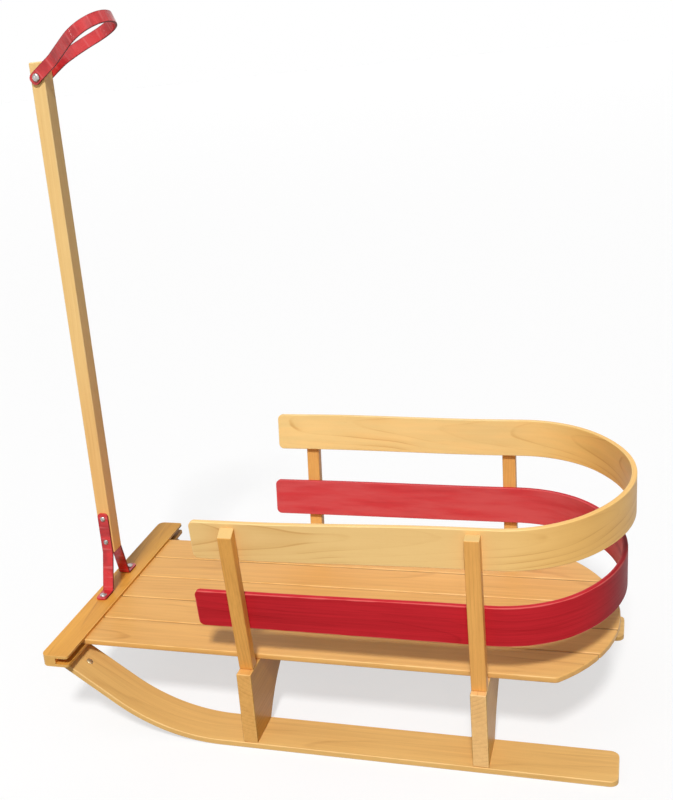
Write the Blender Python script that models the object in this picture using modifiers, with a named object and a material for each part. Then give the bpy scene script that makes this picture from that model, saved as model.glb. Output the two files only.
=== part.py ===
"""Wooden push sled with a bentwood side rail and an upright pole, after one photograph.

Metres, X forward, Y to the sled's left, Z up, floor at Z 0. The sled is the same on both
sides of the plane Y 0. Lengths along the sled are counted forward from the skis' tails.
"""

import math

import bmesh
import bpy
from mathutils import Matrix, Vector

# Clearances
seat_gap = 0.0003
pivot_gap = 0.0008
hole_gap = 0.0005

# Corner radii over which a strip's rows straighten out behind its rounded end, and the
# columns of faces across such a strip
end_reach = 2.6
corner_columns = 8

# Whole sled, from the skis' tails to the crossbar's front
sled_length = 0.8715
rail_overhang = 0.021

# Skis
ski_width = 0.0735
ski_thickness = 0.009
ski_inset = 0.015
ski_bend_radius = 0.300
ski_slope_deg = 35.3
ski_reach = 0.0315
ski_tail_corner = 0.013
ski_edge = 0.0013

# Crossbar
bar_width = 0.047
bar_length = 0.502
bar_thickness = 0.019
bar_bottom_z = 0.1234
bar_front_corner = 0.012
bar_back_corner = 0.006
bar_lip = 0.0048
groove_depth = 0.022
bar_edge = 0.002

# Deck, which ends behind in one arc across all slats
slat_count = 5
slat_gap = 0.0022
slat_thickness = 0.0092
deck_side_gap = 0.0228
deck_back_inset = 0.002
deck_arc_radius = 0.256
deck_corner = 0.012
slat_edge = 0.0018

# Trestles under the deck
trestle_thickness = 0.0231
trestle_shares = {"rear": 0.21664, "front": 0.61801}
trestle_inset = 0.001
trestle_leg_width = 0.0715
arch_crown_drop = 0.0356
trestle_edge = 0.0012

# Side rails, with sizes taken at the lower rail's underside
rail_height = 0.0625
rail_thickness = 0.008
rail_inset = 0.0245
lower_rail_z = 0.194
upper_rail_z = 0.3153
lower_rail_reach = 0.0709
upper_rail_reach = 0.0604
lower_rail_overhang = 0.008
rail_side_radius = 0.164
rail_side_turn_deg = 50.0
rail_tail_lean_deg = 0.6
rail_corner = 0.009
rail_edge = 0.0014

# Posts
post_width = 0.022
post_depth = 0.018
post_lean_deg = {"rear": 3.2, "front": 7.5}
post_bevel_deg = {"rear": 8.0, "front": 30.0}
post_top_drop = 0.006
post_edge = 0.0016

# Pole and its brackets
pole_depth = 0.0237
pole_width = 0.0286
pole_inset = 0.0321
pole_bottom_z = 0.2079
pole_top_z = 1.0304
pole_edge = 0.0016
strap_thickness = 0.003
strap_width = 0.0195
strap_top_z = 0.282
strap_slant_deg = 17.0
strap_bend_radius = 0.005
strap_corner = 0.007
strap_edge = 0.0004
foot_length = 0.030
foot_bolt_inset = 0.012
bolt_radius = 0.003
bolt_head_radius = 0.0062
bolt_head_height = 0.0036
strap_bolt_z = (0.2283, 0.272)

# Strap under each ski's front end
nose_strap_width = 0.024
nose_strap_leg = 0.054
nose_strap_inset = 0.002
nose_strap_corner = 0.004

# Grip
grip_pivot_drop = 0.0221
grip_strap_width = 0.019
grip_strap_thickness = 0.003
grip_strap_corner = 0.008
grip_lean_deg = 52.5
grip_droop_deg = 12.6
grip_twist_deg = 7.5
grip_reach = 0.147
grip_neck = 0.0314
grip_neck_radius = 0.030
grip_flare_deg = 25.5
grip_end_length = 0.0115

deck_bottom_z = bar_bottom_z + bar_lip + seat_gap
deck_top_z = deck_bottom_z + slat_thickness
tail_x = -sled_length / 2 + rail_overhang / 2
bar_front_x = tail_x + sled_length
bar_back_x = bar_front_x - bar_width
pole_back_x = bar_front_x - pole_inset
trestle_x = {end: tail_x + share * sled_length for end, share in trestle_shares.items()}
ski_outer_y = bar_length / 2 - ski_inset
trestle_outer_y = ski_outer_y - trestle_inset
arch_half_width = trestle_outer_y - trestle_leg_width
rail_half_width = trestle_outer_y - rail_inset
deck_half_width = rail_half_width - deck_side_gap


def paint(name, color, roughness, metallic=0.0):
    """One Principled material."""
    material = bpy.data.materials.new(name)
    material.use_nodes = True
    shader = material.node_tree.nodes["Principled BSDF"]
    shader.inputs["Base Color"].default_value = (*color, 1.0)
    shader.inputs["Roughness"].default_value = roughness
    shader.inputs["Metallic"].default_value = metallic
    material.diffuse_color = (*color, 1.0)
    return material


def clear_scene():
    for obj in list(bpy.data.objects):
        bpy.data.objects.remove(obj)


def new_object(name, mesh, material=None, helper=False):
    """Links a mesh as a part, or as a cutter that isn't rendered."""
    obj = bpy.data.objects.new(name, mesh)
    if helper:
        obj.hide_render = True
        obj.display_type = "WIRE"
        cutters.objects.link(obj)
    else:
        obj.data.materials.append(material)
        parts.objects.link(obj)
    return obj


def closed_up(mesh):
    """Welds a mesh's shared corners and turns its faces outward."""
    work = bmesh.new()
    work.from_mesh(mesh)
    bmesh.ops.remove_doubles(work, verts=work.verts, dist=1e-6)
    bmesh.ops.recalc_face_normals(work, faces=work.faces)
    work.to_mesh(mesh)
    work.free()
    return mesh


def rounded(corners, steps=8):
    """Points of a closed outline. Each corner is (x, y) or (x, y, radius)."""
    points = []
    for index, corner in enumerate(corners):
        here = Vector(corner[:2])
        if len(corner) == 2:
            points.append(here)
            continue
        before = (Vector(corners[index - 1][:2]) - here).normalized()
        after = (Vector(corners[(index + 1) % len(corners)][:2]) - here).normalized()
        half_angle = before.angle(after) / 2
        centre = here + (before + after).normalized() * corner[2] / math.sin(half_angle)
        start = here + before * corner[2] / math.tan(half_angle) - centre
        end = here + after * corner[2] / math.tan(half_angle) - centre
        turn = start.angle_signed(end)
        for step in range(steps + 1):
            spun = Matrix.Rotation(-turn * step / steps, 2) @ start
            points.append(centre + spun)
    return points


def plate(name, outline, thickness, place, material=None, helper=False):
    """A flat outline extruded by a thickness, half to each side of its plane."""
    curve = bpy.data.curves.new(name, "CURVE")
    curve.dimensions = "2D"
    curve.fill_mode = "BOTH"
    curve.extrude = thickness / 2
    spline = curve.splines.new("POLY")
    spline.points.add(len(outline) - 1)
    for point, position in zip(spline.points, outline):
        point.co = (*position, 0, 1)
    spline.use_cyclic_u = True
    guide = bpy.data.objects.new(name + "_outline", curve)
    mesh = closed_up(bpy.data.meshes.new_from_object(guide))
    bpy.data.objects.remove(guide)
    mesh.transform(place)
    return new_object(name, mesh, material, helper)


def box(name, low, high, material=None, helper=False):
    """A box between two corners."""
    work = bmesh.new()
    bmesh.ops.create_cube(work, size=1)
    low, high = Vector(low), Vector(high)
    size = Matrix.Diagonal((*(high - low), 1))
    bmesh.ops.transform(work, matrix=Matrix.Translation((low + high) / 2) @ size, verts=work.verts)
    mesh = bpy.data.meshes.new(name)
    work.to_mesh(mesh)
    work.free()
    return new_object(name, mesh, material, helper)


def round_bar(name, start, end, radius, material=None, helper=False, sides=24):
    """A cylinder from one point to another."""
    start, end = Vector(start), Vector(end)
    axis = end - start
    work = bmesh.new()
    bmesh.ops.create_cone(
        work, cap_ends=True, segments=sides, radius1=radius, radius2=radius, depth=axis.length
    )
    place = Matrix.Translation((start + end) / 2) @ axis.to_track_quat("Z", "Y").to_matrix().to_4x4()
    bmesh.ops.transform(work, matrix=place, verts=work.verts)
    mesh = bpy.data.meshes.new(name)
    work.to_mesh(mesh)
    work.free()
    return new_object(name, mesh, material, helper)


def cut(obj, cutter, operation="DIFFERENCE"):
    modifier = obj.modifiers.new(operation.title() + " " + cutter.name, "BOOLEAN")
    modifier.operation = operation
    modifier.solver = "EXACT"
    modifier.object = cutter


def turned(name, profile, place, material, steps=24):
    """A round piece from a profile of (radius, height) points, from its top to its bottom."""
    work = bmesh.new()
    line = [work.verts.new((radius, 0, height)) for radius, height in profile]
    for upper, lower in zip(line, line[1:]):
        work.edges.new((upper, lower))
    mesh = bpy.data.meshes.new(name)
    work.to_mesh(mesh)
    work.free()
    obj = new_object(name, mesh, material)
    spin = obj.modifiers.new("Turned", "SCREW")
    spin.steps = steps
    spin.render_steps = steps
    spin.use_merge_vertices = True
    spin.merge_threshold = 0.00001
    obj.matrix_world = place
    return obj


def ease(obj, width, segments=2, angle_deg=40):
    modifier = obj.modifiers.new("Eased edges", "BEVEL")
    modifier.width = width
    modifier.segments = segments
    modifier.limit_method = "ANGLE"
    modifier.angle_limit = math.radians(angle_deg)


def walk(start, heading_deg, moves, bend_step_deg=5.0):
    """Stations along a flat path of straight runs and bends, as (distance, point, heading).

    A move is ("straight", length) or ("bend", radius, degrees), and a positive bend turns left.
    """
    point = Vector(start)
    heading = math.radians(heading_deg)
    distance = 0.0
    stations = [(distance, point.copy(), heading)]
    for move in moves:
        if move[0] == "straight":
            point = point + move[1] * Vector((math.cos(heading), math.sin(heading)))
            distance += move[1]
            stations.append((distance, point.copy(), heading))
            continue
        radius, turn = move[1], math.radians(move[2])
        side = math.copysign(1, turn)
        centre = point + side * radius * Vector((-math.sin(heading), math.cos(heading)))
        steps = max(2, round(abs(move[2]) / bend_step_deg))
        for step in range(1, steps + 1):
            angle = heading + turn * step / steps
            spot = centre - side * radius * Vector((-math.sin(angle), math.cos(angle)))
            stations.append((distance + radius * abs(turn) * step / steps, spot, angle))
        distance += radius * abs(turn)
        point, heading = stations[-1][1].copy(), heading + turn
    return stations


def along(stations, distance):
    """The point and heading at a distance along the stations."""
    for (near, start, first), (far, end, last) in zip(stations, stations[1:]):
        if distance <= far + 1e-9:
            share = (distance - near) / (far - near)
            return start.lerp(end, share), first + (last - first) * share
    return stations[-1][1], stations[-1][2]


def bent_strip(name, stations, width, thickness, place, material, corner=0.0, ends="both", edge=0.001):
    """A strip of even thickness bent along a path, with rounded corners at its ends.

    place(point, heading, across) gives the point in space of the strip's face, where across
    runs from minus to plus half the width. The strip thickens away from that face, towards
    the side that the path's direction crossed with the across direction points to.
    """
    length = stations[-1][0]
    reach = end_reach * corner
    marks = {round(distance, 6) for distance, _, _ in stations}
    if corner:
        marks |= {round(end, 6) for end in (reach / 2, reach, length - reach / 2, length - reach)}
    marks = sorted(marks)
    columns = corner_columns if corner else 1
    work = bmesh.new()
    bmesh.ops.create_grid(work, x_segments=len(marks) - 1, y_segments=columns, size=0.5)
    for vertex in work.verts:
        row = round((vertex.co.x + 0.5) * (len(marks) - 1))
        share = 2 * round((vertex.co.y + 0.5) * columns) / columns - 1
        across = width / 2 * (math.sin(share * math.pi / 2) if corner else share)
        distance = marks[row]
        if corner:
            beyond = max(0.0, abs(across) - (width / 2 - corner))
            inset = corner - math.sqrt(max(0.0, corner**2 - beyond**2))
            if ends in ("both", "start"):
                distance += inset * max(0.0, 1 - marks[row] / reach)
            if ends in ("both", "end"):
                distance -= inset * max(0.0, 1 - (length - marks[row]) / reach)
        vertex.co = place(*along(stations, distance), across)
    mesh = bpy.data.meshes.new(name)
    work.to_mesh(mesh)
    work.free()
    strip = new_object(name, mesh, material)
    thicken = strip.modifiers.new("Thickness", "SOLIDIFY")
    thicken.thickness = thickness
    thicken.offset = 1
    thicken.use_even_offset = True
    thicken.use_quality_normals = True
    ease(strip, edge)
    return strip


def lean_at(x):
    """Tangent of the rails' outward lean, which grows smoothly from the tail to the front posts."""
    rear_x, front_x = trestle_x["rear"], trestle_x["front"]
    marks = (tail_x, rear_x - post_width, rear_x + post_width, front_x - post_width)
    angles = (rail_tail_lean_deg, post_lean_deg["rear"], post_lean_deg["rear"], post_lean_deg["front"])
    leans = [math.tan(math.radians(angle)) for angle in angles]
    if x <= marks[0]:
        return leans[0]
    for (low_x, low), (high_x, high) in zip(zip(marks, leans), zip(marks[1:], leans[1:])):
        if x < high_x:
            share = (x - low_x) / (high_x - low_x)
            return low + (high - low) * share * share * (3 - 2 * share)
    return leans[-1]


def make_skis():
    """Two boards that lie flat and bend up in front, to end under the crossbar."""
    slope = math.radians(ski_slope_deg)
    rise = bar_bottom_z - seat_gap
    bend_rise = ski_bend_radius * (1 - math.cos(slope))
    bend_run = ski_bend_radius * math.sin(slope)
    ramp = (rise - bend_rise) / math.sin(slope)
    flat = bar_back_x + ski_reach - ramp * math.cos(slope) - bend_run - tail_x
    moves = [
        ("straight", flat),
        ("bend", ski_bend_radius, ski_slope_deg),
        ("straight", ramp + ski_thickness),
    ]
    stations = walk((tail_x, 0.0), 0.0, moves)
    trim = box(
        "ski_end_cutter",
        (bar_back_x - bar_width, -trestle_outer_y - ski_width, bar_bottom_z - seat_gap),
        (bar_front_x + bar_width, trestle_outer_y + ski_width, bar_bottom_z + bar_width),
        helper=True,
    )
    for side, name in ((1, "left_ski"), (-1, "right_ski")):
        middle = side * (ski_outer_y - ski_width / 2)

        def place(point, heading, across, middle=middle):
            return (point.x, middle + across, point.y)

        ski = bent_strip(
            name, stations, ski_width, ski_thickness, place, maple, ski_tail_corner, "start", ski_edge
        )
        cut(ski, trim)


def make_crossbar():
    """The front bar, grooved along its back for the slats."""
    half = bar_length / 2
    outline = rounded(
        [
            (bar_back_x, -half, bar_back_corner),
            (bar_front_x, -half, bar_front_corner),
            (bar_front_x, half, bar_front_corner),
            (bar_back_x, half, bar_back_corner),
        ]
    )
    middle_z = bar_bottom_z + bar_thickness / 2
    bar = plate("crossbar", outline, bar_thickness, Matrix.Translation((0, 0, middle_z)), maple)
    groove = box(
        "groove_cutter",
        (bar_back_x - groove_depth, -bar_length, bar_bottom_z + bar_lip),
        (bar_back_x + groove_depth, bar_length, deck_top_z + seat_gap),
        helper=True,
    )
    cut(bar, groove)
    ease(bar, bar_edge)


def make_deck():
    """Slats side by side, cut to one arc at the back, with their fronts in the crossbar's groove."""
    back = tail_x + deck_back_inset
    front = bar_back_x + groove_depth - seat_gap
    wide = deck_half_width
    reach = math.asin(wide / deck_arc_radius)
    steps = 20
    arc = []
    for step in range(steps + 1):
        angle = reach * (1 - 2 * step / steps)
        x = back + deck_arc_radius * (1 - math.cos(angle))
        arc.append((x, deck_arc_radius * math.sin(angle)))
    arc[0] = (*arc[0], deck_corner)
    arc[-1] = (*arc[-1], deck_corner)
    shape = plate(
        "deck_outline_cutter",
        rounded([(front, -wide), (front, wide), *arc]),
        4 * slat_thickness,
        Matrix.Translation((0, 0, deck_bottom_z)),
        helper=True,
    )
    pitch = (2 * deck_half_width + slat_gap) / slat_count
    for index in range(slat_count):
        low_y = -deck_half_width + index * pitch
        slat = box(
            f"slat_{index + 1}",
            (back - slat_thickness, low_y, deck_bottom_z),
            (front + slat_thickness, low_y + pitch - slat_gap, deck_top_z),
            maple,
        )
        cut(slat, shape, "INTERSECT")
        ease(slat, slat_edge)


def make_trestle(end):
    """An arched board across both skis, which carries the deck."""
    foot_z = ski_thickness + seat_gap
    top_z = deck_bottom_z - seat_gap
    crown_z = top_z - arch_crown_drop
    rise = crown_z - foot_z
    radius = (arch_half_width**2 + rise**2) / (2 * rise)
    reach = math.asin(arch_half_width / radius)
    arch = []
    for step in range(25):
        angle = reach * (1 - step / 12)
        arch.append(Vector((radius * math.sin(angle), crown_z - radius * (1 - math.cos(angle)))))
    outline = [
        Vector((-trestle_outer_y, foot_z)),
        Vector((-trestle_outer_y, top_z)),
        Vector((trestle_outer_y, top_z)),
        Vector((trestle_outer_y, foot_z)),
        *arch,
    ]
    # The outline's own X and Y become the sled's Y and Z.
    place = Matrix.Translation((trestle_x[end], 0, 0)) @ Matrix(
        ((0, 0, 1, 0), (1, 0, 0, 0), (0, 1, 0, 0), (0, 0, 0, 1))
    )
    trestle = plate(f"{end}_trestle", outline, trestle_thickness, place, maple)
    ease(trestle, trestle_edge, 1, 30)


def make_posts(end):
    """Two leaning uprights on a trestle's shoulders, outside the rails."""
    lean = math.tan(math.radians(post_lean_deg[end]))
    foot_z = deck_bottom_z
    top_z = upper_rail_z + rail_height - post_top_drop
    inner = rail_half_width + seat_gap

    def inner_y(z):
        return inner + (z - lower_rail_z) * lean

    outer_top_z = top_z - post_depth * math.tan(math.radians(post_bevel_deg[end]))
    outline = [
        Vector((inner_y(foot_z), foot_z)),
        Vector((inner_y(foot_z) + post_depth, foot_z)),
        Vector((inner_y(outer_top_z) + post_depth, outer_top_z)),
        Vector((inner_y(top_z), top_z)),
    ]
    for side, name in ((1, "left"), (-1, "right")):
        place = Matrix.Translation((trestle_x[end], 0, 0)) @ Matrix(
            ((0, 0, 1, 0), (side, 0, 0, 0), (0, 1, 0, 0), (0, 0, 0, 1))
        )
        post = plate(f"{name}_{end}_post", outline, post_width, place, maple)
        if side < 0:
            post.data.flip_normals()
        ease(post, post_edge)


def make_rail(name, low_z, front_x, back_x, material):
    """A bentwood band, open in front and round behind, that leans outward with the posts."""
    turn = math.radians(rail_side_turn_deg)
    side = rail_side_radius
    tail = (rail_half_width - side * (1 - math.cos(turn))) / math.cos(turn)
    bend_depth = side * math.sin(turn) + tail * (1 - math.sin(turn))
    straight = front_x - back_x - bend_depth
    moves = [
        ("straight", straight),
        ("bend", side, rail_side_turn_deg),
        ("bend", tail, 180 - 2 * rail_side_turn_deg),
        ("bend", side, rail_side_turn_deg),
        ("straight", straight),
    ]
    stations = walk((front_x, rail_half_width), 180.0, moves)
    twist_start = trestle_x["front"] - post_width
    twist_length = twist_start - trestle_x["rear"] - post_width
    steps = 8
    extra = []
    for step in range(steps + 1):
        ahead = front_x - twist_start + twist_length * step / steps
        extra += [ahead, stations[-1][0] - ahead]
    stations = sorted(
        stations + [(distance, *along(stations, distance)) for distance in extra],
        key=lambda station: station[0],
    )

    def place(point, heading, across):
        z = low_z + rail_height / 2 - across
        out = (z - lower_rail_z) * lean_at(point.x)
        return (point.x + out * math.sin(heading), point.y - out * math.cos(heading), z)

    bent_strip(name, stations, rail_height, rail_thickness, place, material, rail_corner, "both", rail_edge)


def make_pole():
    """The upright stick, square-cut at both ends."""
    pole = box(
        "pole",
        (pole_back_x, -pole_width / 2, pole_bottom_z),
        (pole_back_x + pole_depth, pole_width / 2, pole_top_z),
        maple,
    )
    ease(pole, pole_edge)
    return pole


def make_brackets():
    """Two steel straps that hold the pole above the crossbar."""
    middle_x = pole_back_x + pole_depth / 2
    bar_top = bar_bottom_z + bar_thickness
    pole_face = pole_width / 2 + seat_gap
    foot_z = bar_top + seat_gap
    slant = math.radians(strap_slant_deg)
    slant_length = (pole_bottom_z - foot_z - strap_bend_radius) / math.cos(slant)
    moves = [
        ("straight", strap_top_z - pole_bottom_z),
        ("bend", strap_bend_radius, strap_slant_deg),
        ("straight", slant_length),
        ("bend", strap_bend_radius, 90.0 - strap_slant_deg),
        ("straight", foot_length),
    ]
    stations = walk((pole_face, strap_top_z), -90.0, moves, 12.0)
    for side, name in ((1, "left"), (-1, "right")):

        def place(point, heading, across, side=side):
            return (middle_x - side * across, side * point.x, point.y)

        bracket = bent_strip(
            f"{name}_bracket",
            stations,
            strap_width,
            strap_thickness,
            place,
            red_steel,
            strap_corner,
            "both",
            strap_edge,
        )
        foot_y = side * (stations[-1][1].x - foot_bolt_inset)
        outer_y = side * (pole_face + strap_thickness)
        for height in strap_bolt_z:
            hole = round_bar(
                f"{name}_hole_cutter",
                (middle_x, 0, height),
                (middle_x, 2 * outer_y, height),
                bolt_radius + hole_gap,
                helper=True,
            )
            cut(bracket, hole)
        foot_hole = round_bar(
            f"{name}_foot_hole_cutter",
            (middle_x, foot_y, foot_z - strap_thickness),
            (middle_x, foot_y, foot_z + 2 * strap_thickness),
            bolt_radius + hole_gap,
            helper=True,
        )
        cut(bracket, foot_hole)


def make_nose_straps():
    """A bent steel strap under each ski's front end, which ties it to the crossbar."""
    slope = math.radians(ski_slope_deg)
    turn_x = bar_back_x + ski_reach + seat_gap / math.sin(slope)
    half_bend = strap_bend_radius * math.tan(slope / 2)
    front = bar_front_x - bar_edge - nose_strap_inset
    moves = [
        ("straight", front - turn_x - half_bend),
        ("bend", strap_bend_radius, ski_slope_deg),
        ("straight", nose_strap_leg - half_bend),
    ]
    stations = walk((front, bar_bottom_z - seat_gap), 180.0, moves)
    for side, name in ((1, "left"), (-1, "right")):
        middle = side * (ski_outer_y - ski_width / 2)

        def place(point, heading, across, middle=middle):
            return (point.x, middle + across, point.y)

        bent_strip(
            f"{name}_nose_strap",
            stations,
            nose_strap_width,
            strap_thickness,
            place,
            zinc,
            nose_strap_corner,
            "both",
            strap_edge,
        )


def make_grip(pole):
    """The hand loop: one band of strap, bowed out, on a bolt through the pole's top.

    The loop leans back from the pivot, leans further as it goes out, and twists a little.
    """
    pivot = Vector((pole_back_x + pole_depth / 2, 0, pole_top_z - grip_pivot_drop))
    lean = math.radians(grip_lean_deg)
    droop = math.radians(grip_droop_deg)
    face = pole_width / 2 + pivot_gap
    flare = math.radians(grip_flare_deg)
    # The bow is a circle that both flared legs touch and that ends at the loop's reach.
    neck_y = face + grip_neck_radius * (1 - math.cos(flare))
    neck_end = grip_neck + grip_neck_radius * math.sin(flare)
    bow = (neck_y * math.cos(flare) + (grip_reach - neck_end) * math.sin(flare)) / (1 + math.sin(flare))
    leg = (grip_reach - bow - neck_end) * math.cos(flare) - neck_y * math.sin(flare)
    end_and_neck = ("straight", grip_end_length + grip_neck)
    turn_out = ("bend", grip_neck_radius, -grip_flare_deg)
    moves = [end_and_neck, turn_out, ("straight", leg)]
    moves += [("bend", bow, 180 + 2 * grip_flare_deg), *reversed(moves)]
    stations = walk((face, -grip_end_length), 90.0, moves, 12.0)

    def place(point, heading, across):
        share = point.y / grip_reach
        leaning = lean + droop * share
        wide = Vector((math.cos(leaning), 0, math.sin(leaning)))
        spine = (wide - Vector((math.cos(lean), 0, math.sin(lean)))) * grip_reach / droop
        flat = Vector((point.x, across))
        side, along_width = Matrix.Rotation(math.radians(grip_twist_deg) * max(0, share) ** 2, 2) @ flat
        return pivot + spine + Vector((0, side, 0)) + wide * along_width

    grip = bent_strip(
        "grip_loop",
        stations,
        grip_strap_width,
        grip_strap_thickness,
        place,
        red_strap,
        grip_strap_corner,
        "both",
        strap_edge,
    )
    hole = round_bar(
        "grip_hole_cutter",
        pivot - Vector((0, pole_width, 0)),
        pivot + Vector((0, pole_width, 0)),
        bolt_radius + hole_gap,
        helper=True,
    )
    cut(grip, hole)
    pole_hole = round_bar(
        "pole_hole_cutter",
        pivot - Vector((0, pole_width, 0)),
        pivot + Vector((0, pole_width, 0)),
        bolt_radius + seat_gap,
        helper=True,
    )
    cut(pole, pole_hole)
    seat = face + grip_strap_thickness + pivot_gap
    dome = [
        (bolt_head_radius * math.cos(angle), seat + bolt_head_height * math.sin(angle))
        for angle in (math.radians(90 - 15 * step) for step in range(7))
    ]
    dome[0] = (0, seat + bolt_head_height)
    half = dome + [(bolt_radius, seat)]
    profile = half + [(radius, -height) for radius, height in reversed(half)]
    across = Matrix.Translation(pivot) @ Matrix.Rotation(math.radians(-90), 4, "X")
    turned("grip_bolt", profile, across, zinc)


clear_scene()
parts = bpy.data.collections.new("wooden_sled")
cutters = bpy.data.collections.new("cutters")
for collection in (parts, cutters):
    bpy.context.scene.collection.children.link(collection)
maple = paint("maple", (0.70, 0.44, 0.20), 0.45)
red_stain = paint("red_stained_wood", (0.50, 0.015, 0.03), 0.4)
red_steel = paint("red_painted_steel", (0.55, 0.02, 0.03), 0.3)
red_strap = paint("red_strap", (0.6, 0.02, 0.03), 0.25)
zinc = paint("zinc_bolts", (0.6, 0.6, 0.6), 0.35, 1.0)

make_skis()
make_crossbar()
make_deck()
for trestle_end in trestle_x:
    make_trestle(trestle_end)
    make_posts(trestle_end)
rail_front_x = trestle_x["front"] + lower_rail_reach
make_rail("lower_rail", lower_rail_z, rail_front_x, tail_x - lower_rail_overhang, red_stain)
rail_front_x = trestle_x["front"] + upper_rail_reach
upper_rail_lean = (upper_rail_z + rail_height - lower_rail_z) * lean_at(tail_x)
make_rail("upper_rail", upper_rail_z, rail_front_x, tail_x - rail_overhang + upper_rail_lean, maple)
pole = make_pole()
make_brackets()
make_nose_straps()
make_grip(pole)
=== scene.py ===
"""Looks of the wooden push sled: bentwood rails, skis and hand loop carried along their paths,
varnished and stained wood, painted and bare steel, bolts, floor, light and camera.

Metres, X forward, Y to the sled's left, Z up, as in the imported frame.
"""

import math

import bmesh
import bpy
import numpy as np
from mathutils import Matrix, Vector


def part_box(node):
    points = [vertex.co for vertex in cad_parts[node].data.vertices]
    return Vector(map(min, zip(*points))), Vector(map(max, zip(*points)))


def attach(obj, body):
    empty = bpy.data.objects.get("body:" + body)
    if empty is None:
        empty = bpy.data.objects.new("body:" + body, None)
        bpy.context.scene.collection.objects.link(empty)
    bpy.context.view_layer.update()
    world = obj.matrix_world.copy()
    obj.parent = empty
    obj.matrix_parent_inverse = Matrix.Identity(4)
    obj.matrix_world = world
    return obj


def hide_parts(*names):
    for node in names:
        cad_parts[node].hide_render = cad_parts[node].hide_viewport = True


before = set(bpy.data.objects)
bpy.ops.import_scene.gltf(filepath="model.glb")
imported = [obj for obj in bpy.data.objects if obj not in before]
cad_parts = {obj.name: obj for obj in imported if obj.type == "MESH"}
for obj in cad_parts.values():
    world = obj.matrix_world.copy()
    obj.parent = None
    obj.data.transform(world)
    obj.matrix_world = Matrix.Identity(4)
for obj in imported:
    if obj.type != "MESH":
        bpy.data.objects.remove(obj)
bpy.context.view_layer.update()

# Sizes of the bent pieces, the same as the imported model's
SEAT_GAP = 0.0003
PIVOT_GAP = 0.0008
TAIL_X = -0.42525
BAR_FRONT_X = 0.44625
BAR_BACK_X = 0.39925
BAR_BOTTOM_Z = 0.1234
BAR_THICKNESS = 0.019
REAR_POST_X = -0.23645
FRONT_POST_X = 0.11335
POST_WIDTH = 0.022
POLE_X = 0.426
POLE_WIDTH = 0.0286
POLE_BOTTOM_Z = 0.2079
SKI_MIDDLE_Y = 0.19925
SKI_SLOPE_DEG = 35.3
STRAP_THICKNESS = 0.003
STRAP_BEND = 0.005
STRAP_EDGE = 0.0006
GRIP_PIVOT = Vector((POLE_X, 0.0, 1.0083))


# Mesh making

def piece(name, points, faces, material, slot, body="sled", stands_for=(), board=None):
    """A mesh with outward faces, ridden on a body, with each point's board coordinates."""
    mesh = bpy.data.meshes.new(name)
    mesh.from_pydata(np.asarray(points).reshape(-1, 3).tolist(), [], faces)
    if board is not None:
        layer = mesh.attributes.new("board", "FLOAT_VECTOR", "POINT")
        layer.data.foreach_set("vector", np.asarray(board, np.float32).ravel())
    work = bmesh.new()
    work.from_mesh(mesh)
    bmesh.ops.recalc_face_normals(work, faces=work.faces)
    work.to_mesh(mesh)
    work.free()
    return shown(name, mesh, material, body, stands_for)


def shown(name, mesh, material, body="sled", stands_for=()):
    """Links a finished mesh, shades its rounded edges round and says what it rides on."""
    mesh.materials.clear()
    mesh.materials.append(material)
    mesh.polygons.foreach_set("use_smooth", np.ones(len(mesh.polygons), bool))
    obj = bpy.data.objects.new(name, mesh)
    bpy.context.scene.collection.objects.link(obj)
    rounding = obj.modifiers.new("Flat faces stay flat", "WEIGHTED_NORMAL")
    rounding.mode = "FACE_AREA"
    rounding.weight = 100
    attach(obj, body)
    if stands_for:
        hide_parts(*stands_for)
    return obj


def eased_copy(node, material, body="sled"):
    """The CAD solid's own shape, welded, with flat faces joined and eased edges shaded round."""
    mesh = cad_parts[node].data.copy()
    work = bmesh.new()
    work.from_mesh(mesh)
    bmesh.ops.remove_doubles(work, verts=work.verts, dist=1e-5)
    bmesh.ops.dissolve_limit(
        work, angle_limit=math.radians(0.5), verts=work.verts, edges=work.edges
    )
    work.to_mesh(mesh)
    work.free()
    return shown(node + "_finished", mesh, material, body, (node,))


def follow(start, heading_deg, moves, spots):
    """A plane path of straights and bends, each move being (length, turn in degrees).

    The heading is the running sum of the turns, linear within a move, and the point is the
    running sum of (cos heading, sin heading) over the length.
    """
    knots = np.concatenate(([0.0], np.cumsum([length for length, _ in moves])))
    turns = np.concatenate(([0.0], np.cumsum([turn for _, turn in moves])))
    fine = np.union1d(np.linspace(0, knots[-1], 6001), knots)
    angle = np.radians(heading_deg + np.interp(fine, knots, turns))
    middle = (angle[1:] + angle[:-1]) / 2
    x = start[0] + np.concatenate(([0.0], np.cumsum(np.diff(fine) * np.cos(middle))))
    y = start[1] + np.concatenate(([0.0], np.cumsum(np.diff(fine) * np.sin(middle))))
    return np.interp(spots, fine, x), np.interp(spots, fine, y), np.interp(spots, fine, angle)


def bend(radius, turn_deg):
    """The move that turns by an angle on a radius."""
    return radius * math.radians(abs(turn_deg)), turn_deg


def path_length(moves):
    """A path's whole length."""
    return sum(length for length, _ in moves)


def ring_faces(rows, loop):
    """The quads between rings of points that follow each other, and the two end faces."""
    index = np.arange(rows * loop).reshape(rows, loop)
    beside = np.roll(index, -1, 1)
    sides = np.stack((index[:-1], beside[:-1], beside[1:], index[1:]), -1).reshape(-1, 4)
    return [*sides.tolist(), index[0, ::-1].tolist(), index[-1].tolist()]


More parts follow.
